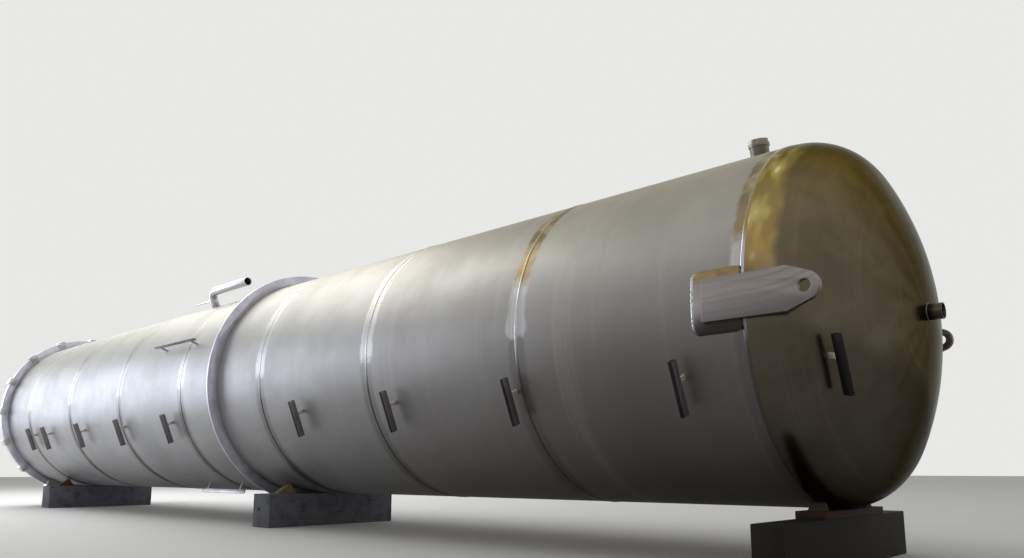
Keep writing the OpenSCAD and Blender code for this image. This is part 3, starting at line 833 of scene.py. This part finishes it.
class SteelSizes(bpy.types.PropertyGroup):
    """Sizes of the weld beads and of the eased edges."""

    girth_w: length("Girth weld width", "Width over the joint", JOINT_W + 6 * MM, JOINT_W)
    girth_h: length("Girth weld height", "Height of a girth weld over the plate", 4 * MM, 1 * MM)
    ring_fillet: length("Ring fillet", "Width of the welds along the rings", 16 * MM, 4 * MM)
    pad_weld: length("Pad weld", "Width of the welds round the lug pads", 28 * MM, 8 * MM)
    foot_weld: length("Foot weld", "Width of the welds round clips and brackets", 9 * MM, 3 * MM)
    ease: length("Eased edge", "Width to which cut plate edges are filed", 1.5 * MM, 0.3 * MM)


class StageSizes(bpy.types.PropertyGroup):
    """Camera and light."""

    lens: bpy.props.FloatProperty(
        name="Lens",
        description="Focal length in mm on a sensor 36 mm wide",
        default=28.125,
        min=10.0,
    )
    light: bpy.props.FloatProperty(
        name="Light",
        description="Strength of all the lamps, as a share",
        default=1.0,
        min=0.0,
        soft_max=2.0,
        subtype="FACTOR",
    )


class EXCHANGER_OT_plate(bpy.types.Operator):
    """Gives the shell courses their pickled plate"""

    bl_idname = "exchanger.plate"
    bl_label = "Shell plate"

    def execute(self, context):
        look = context.scene.shell_look
        material = new_finish("pickled_stainless_plate", pickled_plate, look)
        for name in COURSES:
            paint_node(name, material)
        return {"FINISHED"}


class EXCHANGER_OT_heads(bpy.types.Operator):
    """Gives both dished heads their polish"""

    bl_idname = "exchanger.heads"
    bl_label = "Dished heads"

    def execute(self, context):
        look = context.scene.shell_look
        material = new_finish("polished_stainless_head", polished_head, look)
        for name in ("dished_head", "cover_head"):
            paint_node(name, material)
        return {"FINISHED"}


class EXCHANGER_OT_girth_welds(bpy.types.Operator):
    """Lays a crowned bead over each girth joint"""

    bl_idname = "exchanger.girth_welds"
    bl_label = "Girth welds"

    def execute(self, context):
        sizes = context.scene.steel_sizes
        beads = []
        for i, x in enumerate(SEAMS):
            path, normals = ring_path(x, SHELL_R - GIRTH_SINK)
            # The two welds nearest the head show most of the painted warm reflection
            tints = [self.tint_at(n.z, 0.95 if i < 2 else 0.2) for n in normals]
            size = sizes.girth_w, sizes.girth_h
            beads.append(bead(f"girth_bead_{i}", path, normals, *size, seed=i, tints=tints))
        put(joined("girth_beads", beads), "weld", weld_finish(), "girth_welds")
        return {"FINISHED"}

    def tint_at(self, height, strength):
        """Tint at a height from -1 to 1: straw above, silver at half height and dull below."""
        # Painted warm reflection above and painted shade below
        if height > 0:
            return strength * min(1.0, max(0.0, (height - 0.26) / 0.08))
        return -0.95 * min(1.0, max(0.0, (0.02 - height) / 0.25))


class EXCHANGER_OT_rings(bpy.types.Operator):
    """Eases the support ring, the end flanges and their clamps, and welds the rings on"""

    bl_idname = "exchanger.rings"
    bl_label = "Rings, flanges and clamps"

    def execute(self, context):
        sizes = context.scene.steel_sizes
        plate = new_finish("cut_ring_plate", cut_plate, "#d6d5e2", "#bebdca")
        for name in ("support_ring", "end_flange", "cover_flange"):
            put(eased(f"{name}_plate", name, sizes.ease), "ring_plate", plate, name)
        clamps = new_finish("cut_clamp_steel", cut_plate, "#dededc", "#b2b2b0", 0.3)
        put(eased("rim_clamp_set", "rim_clamps", 2 * sizes.ease), "clamp_steel", clamps, "rim_clamps")
        paint_node("gasket", new_finish("pressed_graphite_gasket", pressed_gasket))
        ring_low, ring_high, _ = box_of("support_ring")
        fillets = [(ring_low.x, -1.0), (ring_high.x, 1.0)]
        fillets += [(box_of("end_flange")[1].x, 1.0), (box_of("cover_flange")[0].x, -1.0)]
        beads = []
        for i, (x, lean) in enumerate(fillets):
            path, normals = ring_path(x, SHELL_R, lean)
            # Straw on top of the shell is a painted warm reflection, and the dull brown on its sides
            # and underneath is painted shade
            tints = [-0.55 if n.z < 0.4 else 0.5 for n in normals]
            size = sizes.ring_fillet, RING_RISE * sizes.ring_fillet
            beads.append(bead(f"ring_fillet_{i}", path, normals, *size, seed=20 + i, tints=tints))
        put(joined("ring_fillets", beads), "weld", weld_finish())
        return {"FINISHED"}


class EXCHANGER_OT_lugs(bpy.types.Operator):
    """Grinds the lifting lugs, and welds them to their pads and the pads to the shell"""

    bl_idname = "exchanger.lugs"
    bl_label = "Lifting lugs"

    def execute(self, context):
        sizes = context.scene.steel_sizes
        ground = new_finish("disc_ground_stainless", disc_ground_lug)
        pad_plate = new_finish("pad_plate_painted_light", wiped_pad)
        beads = []
        for i, (side, angle) in enumerate((("near", 0.0), ("far", 180.0))):
            lug, pad = f"lifting_lug_{side}", f"lug_pad_{side}"
            put(eased(f"lug_{side}", lug, LUG_EASE, 3), "lug_plate", ground, lug)
            put(eased(f"pad_{side}", pad, sizes.ease), "pad_plate", pad_plate, pad)
            _, front, size = box_of(pad)
            half_x, half_y = size.x / 2 + PAD_WELD_OUT, size.z / 2 + PAD_WELD_OUT
            line = spaced(outline(half_x, half_y, PAD_CORNER))
            path, normals = laid_on_shell(line, middle_of(pad).x, angle, SHELL_R + PAD_WELD_UP)
            # The run on the far side of the lug is full and bright, and the others are thin
            # Painted warm reflection on top, and painted shade underneath and in front
            tints = [1.3 * max(0.0, n.z) - 1.4 * max(0.0, -n.z, n.x) for n in normals]
            shares = [0.35 + 0.65 * min(1.0, 1.4 * max(0.0, -n.x)) for n in normals]
            marks = {"seed": 40 + i, "tints": tints, "shares": shares}
            beads.append(bead(f"pad_weld_{i}", path, normals, sizes.pad_weld, PAD_WELD_H, **marks))
            back, _, size = box_of(lug)
            line = outline((front.x - back.x) / 2, size.z / 2, LUG_CORNER, open_front=True)
            path, normals = laid_on_shell(spaced(line), (front.x + back.x) / 2, angle, PAD_R)
            # Painted shade: darker underneath
            tints = [-1.0 if n.z < -0.1 else -0.4 for n in normals]
            marks = {"closed": False, "seed": 44 + i, "tints": tints}
            beads.append(bead(f"lug_weld_{i}", path, normals, FILLET_W, FILLET_H, **marks))
        put(joined("lug_welds", beads), "weld", weld_finish())
        return {"FINISHED"}


class EXCHANGER_OT_clips(bpy.types.Operator):
    """Eases the clips and brackets and welds their feet to the shell and the head"""

    bl_idname = "exchanger.clips"
    bl_label = "Clips and brackets"

    def execute(self, context):
        sizes = context.scene.steel_sizes
        # Bars: near-black faces are painted shade, broad sides a lit copy of the same steel
        skin = new_finish("bar_shaded_faces", cut_plate, "#302e2e", "#201e1f", 0.42)
        side = new_finish("bar_lit_sides", cut_plate, "#959094", "#7e7a7e", 0.42)
        # Painted highlight: the stems are pale all over
        stem_steel = new_finish("clip_stem_painted_highlight", cut_plate, "#ddd3c8", "#bdb3a8", 0.6)
        rail = new_finish("sheared_bracket_plate", cut_plate, "#a9a9ab", "#7f7f82", 0.3)
        stems, beads = [], []
        for i, name in enumerate(CLIPS + ["head_clip"]):
            origin, axes = self.head_seat() if name == "head_clip" else self.shell_seat(name)
            across, up, out = axes
            low = Vector((0, 0, STANDOFF - BAR_SIZE.z))
            bar = bar_piece(f"{name}_bar", BAR_SIZE, low, origin, axes, sizes.ease)
            put(bar, "clip_plate", skin, name)
            if name in CLIPS:
                # The broad sides take the lit copy, the other faces the painted shade
                bar.data.materials.append(side)
                for face in bar.data.polygons:
                    face.material_index = int(abs(face.normal.dot(across)) > 0.9)
            low = Vector((0, STEM_UP, STANDOFF - BAR_SIZE.z + 1 * MM - STEM_SIZE.z))
            stems.append(bar_piece(f"stem_{i}", STEM_SIZE, low, origin, axes, sizes.ease))
            path, normals = [], []
            for px, py, nx, ny in spaced(outline(STEM_SIZE.x / 2, STEM_SIZE.y / 2, FOOT_CORNER)):
                # The plate falls away behind the flat seat by the square of the distance
                sag = (py + STEM_UP) ** 2 / (2 * SHELL_R)
                path.append(origin + px * across + (py + STEM_UP) * up - sag * out)
                normals.append((out + nx * across + ny * up).normalized())
            beads.append(self.foot_weld(i, path, normals, sizes))
        put(joined("clip_stems", stems), "clip_plate", stem_steel)
        for name in ("bracket_upper", "bracket_lower"):
            for way in (-0.5, 0.5):
                line = spaced(outline(LEG_W / 2, LEG_T / 2, FOOT_CORNER))
                leg_x = middle_of(name).x + way * LEG_PITCH
                path, normals = laid_on_shell(line, leg_x, angle_of(name))
                beads.append(self.foot_weld(len(beads), path, normals, sizes))
            put(eased(f"{name}_plate", name, 0.8 * sizes.ease), "clip_plate", rail, name)
        put(joined("clip_welds", beads), "weld", weld_finish())
        return {"FINISHED"}

    def foot_weld(self, i, path, normals, sizes):
        """A dull weld round the foot of a stem or a leg."""
        size = sizes.foot_weld, FOOT_RISE * sizes.foot_weld
        tints = [-0.6] * len(path)
        return bead(f"foot_weld_{i}", path, normals, *size, seed=60 + i, tints=tints)

    def shell_seat(self, name):
        """Where a clip stands on the shell, and its directions across, up along its bar and out."""
        angle = angle_of(name)
        axes = Vector((1, 0, 0)), out_of_shell(angle + 90), out_of_shell(angle)
        return on_shell(middle_of(name).x, angle), axes

    def head_seat(self):
        """The same for the clip on the knuckle of the dished head."""
        angle, tilt = angle_of(CLIPS[0]), math.radians(HEAD_CLIP_TILT)
        radial, forward = out_of_shell(angle), Vector((1, 0, 0))
        out = math.cos(tilt) * radial + math.sin(tilt) * forward
        across = math.cos(tilt) * forward - math.sin(tilt) * radial
        middle = on_shell(HEAD_SEAM + HEAD_STRAIGHT, angle, SHELL_R - KNUCKLE_R)
        return middle + KNUCKLE_R * out, (across, out_of_shell(angle + 90), out)


class EXCHANGER_OT_pipes(bpy.types.Operator):
    """Eases the nozzles and the elbow pipe and welds them to the shell and the head"""

    bl_idname = "exchanger.pipes"
    bl_label = "Nozzles and pipe"

    def execute(self, context):
        sizes = context.scene.steel_sizes
        bright = new_finish("bright_drawn_stainless", drawn_pipe, "#d6d6dc", "#b2b2b8")
        # The stubs are given brown tones, the head's stub a darker brown
        brown = new_finish("brown_grey_stainless", drawn_pipe, "#8a847e", "#625a4c")
        dark = new_finish("dark_brown_stainless", drawn_pipe, "#5a4f3c", "#3a332b")
        for piece, node, pipe in (
            ("nozzle_stub", "top_nozzle", brown),
            ("head_stub", "head_nozzle", dark),
            ("elbow_run", "elbow_pipe", bright),
        ):
            put(eased(piece, node, 0.8 * sizes.ease), "pipe", pipe, node)
        beads = []
        nozzle = middle_of("top_nozzle").x, angle_of("top_nozzle"), NOZZLE_R
        for i, (x, angle, r) in enumerate((nozzle, (PIPE_X, PIPE_ANGLE, PIPE_R))):
            path, normals = laid_on_shell(spaced(outline(r, r, r)), x, angle)
            beads.append(bead(f"pipe_weld_{i}", path, normals, FILLET_W, FILLET_H, seed=100 + i))
        _, end, stub = box_of("head_nozzle")
        path, normals = ring_path(end.x - STUB_H, stub.y / 2, 1.0, STUB_POINTS)
        marks = {"seed": 104, "tints": [-0.9] * len(path)}
        beads.append(bead("pipe_weld_head", path, normals, FILLET_W, FILLET_H, **marks))
        put(joined("pipe_welds", beads), "weld", weld_finish())
        return {"FINISHED"}


class EXCHANGER_OT_timbers(bpy.types.Operator):
    """Cuts the timbers, the board and the chocks from sawn wood"""

    bl_idname = "exchanger.timbers"
    bl_label = "Timbers and chocks"

    def execute(self, context):
        tones = {
            "timber_left": ("grey_timber", "#706d77", "#4b4a50", "#64646f"),
            "timber_middle": ("grey_timber", "#6c6d73", "#4b4c52", "#63656e"),
            # Painted shade: timber_right is a near-black, shaded copy of the grey timber
            "timber_right": ("grey_timber", "#1b1713", "#100e0c", "#171412"),
            "saddle_board": ("brown_board", "#3b2a20", "#281b14", "#302520"),
            "chocks_left": ("pale_wedge", "#7b4a35", "#542e20", "#6a4838"),
            # The middle chock's pale tone is partly its own and partly painted light
            "chocks_middle": ("pale_wedge", "#a3946c", "#84724c", "#8d8365"),
            "chocks_right": ("pale_wedge", "#5b5140", "#423929", "#4c473c"),
        }
        for name, (slot_name, light, dark, grey) in tones.items():
            middle = middle_of(name)
            look = tuple(middle), light, dark, grey
            wood = new_finish(f"sawn_{name}", sawn_softwood, *look)
            ease = TIMBER_EASE if name.startswith("timber") else BOARD_EASE
            piece = put(eased(f"{name}_wood", name, ease), slot_name, wood, name)
            if name == "timber_middle":
                low, high, _ = box_of(name)
                place = Vector((middle.x - HOLE_OFF, low.y, HOLE_HEIGHT * high.z))
                drilled(piece, place, Vector((0, HOLE_DEPTH, 0)), HOLE_R)
        return {"FINISHED"}


class EXCHANGER_OT_stage(bpy.types.Operator):
    """Lays the floor, hangs the lamps and sets up the camera"""

    bl_idname = "exchanger.stage"
    bl_label = "Floor, light and camera"

    def execute(self, context):
        sizes = context.scene.stage_sizes
        context.scene.view_settings.view_transform = "Standard"
        mesh = bpy.data.meshes.new("floor")
        signs = ((-1, -1), (1, -1), (1, 1), (-1, 1))
        ends = [(FLOOR_HALF * sx, FLOOR_HALF * sy, 0) for sx, sy in signs]
        mesh.from_pydata(ends, [], [(0, 1, 2, 3)])
        floor = linked("floor", mesh)
        floor.data.materials.append(new_finish("matt_painted_floor", painted_floor))
        for name, (place, aim, size, watts, colour) in LAMPS.items():
            area_lamp(name, place, aim, size, watts * sizes.light, colour)
        # Low daylight gleams on the steel, and much less of it falls on the floor
        bpy.data.objects["day_gleam"].visible_diffuse = False
        self.room(context)
        self.camera(context, sizes)
        return {"FINISHED"}

    def room(self, context):
        """A pale room: its full brightness is seen and mirrored, and half of it lights."""
        world = bpy.data.worlds.new("pale_room")
        world.use_nodes = True
        context.scene.world = world
        world.node_tree.nodes.clear()
        add = functools.partial(add_node, world.node_tree)
        rays = add("ShaderNodeLightPath").node.outputs
        seen = add(MATH, {0: rays["Is Camera Ray"], 1: rays["Is Glossy Ray"]}, operation="MAXIMUM")
        seen = add(MATH, {0: seen, 1: rays["Is Transmission Ray"]}, operation="MAXIMUM")
        strength = add(RANGE, {0: seen, 3: 0.5, 4: 1.0})
        sky = add("ShaderNodeBackground", {"Color": linear("#e8e8e6"), "Strength": strength})
        add("ShaderNodeOutputWorld", {"Surface": sky})

    def camera(self, context, sizes):
        """The photograph was taken from low beside the head, looking up and to the left."""
        data = bpy.data.cameras.new("camera")
        data.sensor_width = 36.0
        data.lens = sizes.lens
        data.shift_y = SHIFT_UP_PX / PICTURE_W_PX
        data.clip_end = 300.0
        camera = linked("camera", data)
        camera.location = CAMERA_AT
        turns = 90 + CAMERA_PITCH, CAMERA_ROLL, CAMERA_TURN
        camera.rotation_euler = [math.radians(a) for a in turns]
        context.scene.camera = camera


OPERATORS = (
    EXCHANGER_OT_plate,
    EXCHANGER_OT_heads,
    EXCHANGER_OT_girth_welds,
    EXCHANGER_OT_rings,
    EXCHANGER_OT_lugs,
    EXCHANGER_OT_clips,
    EXCHANGER_OT_pipes,
    EXCHANGER_OT_timbers,
    EXCHANGER_OT_stage,
)
GROUPS = {"shell_look": ShellLook, "steel_sizes": SteelSizes, "stage_sizes": StageSizes}


class EXCHANGER_PT_panel(bpy.types.Panel):
    """Lists the pieces and their sizes"""

    bl_idname = "EXCHANGER_PT_panel"
    bl_label = "Heat exchanger shell"
    bl_space_type = "VIEW_3D"
    bl_region_type = "UI"
    bl_category = "Exchanger"

    def draw(self, context):
        for group in GROUPS:
            column = self.layout.box().column()
            settings = getattr(context.scene, group)
            for key in settings.__annotations__:
                column.prop(settings, key)
        for operator in OPERATORS:
            self.layout.operator(operator.bl_idname)


def register():
    for cls in (*GROUPS.values(), *OPERATORS, EXCHANGER_PT_panel):
        bpy.utils.register_class(cls)
    for key, cls in GROUPS.items():
        setattr(bpy.types.Scene, key, bpy.props.PointerProperty(type=cls))


def unregister():
    for key in GROUPS:
        delattr(bpy.types.Scene, key)
    for cls in reversed((*GROUPS.values(), *OPERATORS, EXCHANGER_PT_panel)):
        bpy.utils.unregister_class(cls)


def main():
    """Makes every piece in order."""
    register()
    for operator in OPERATORS:
        group, name = operator.bl_idname.split(".")
        getattr(getattr(bpy.ops, group), name)()


if __name__ == "__main__":
    main()
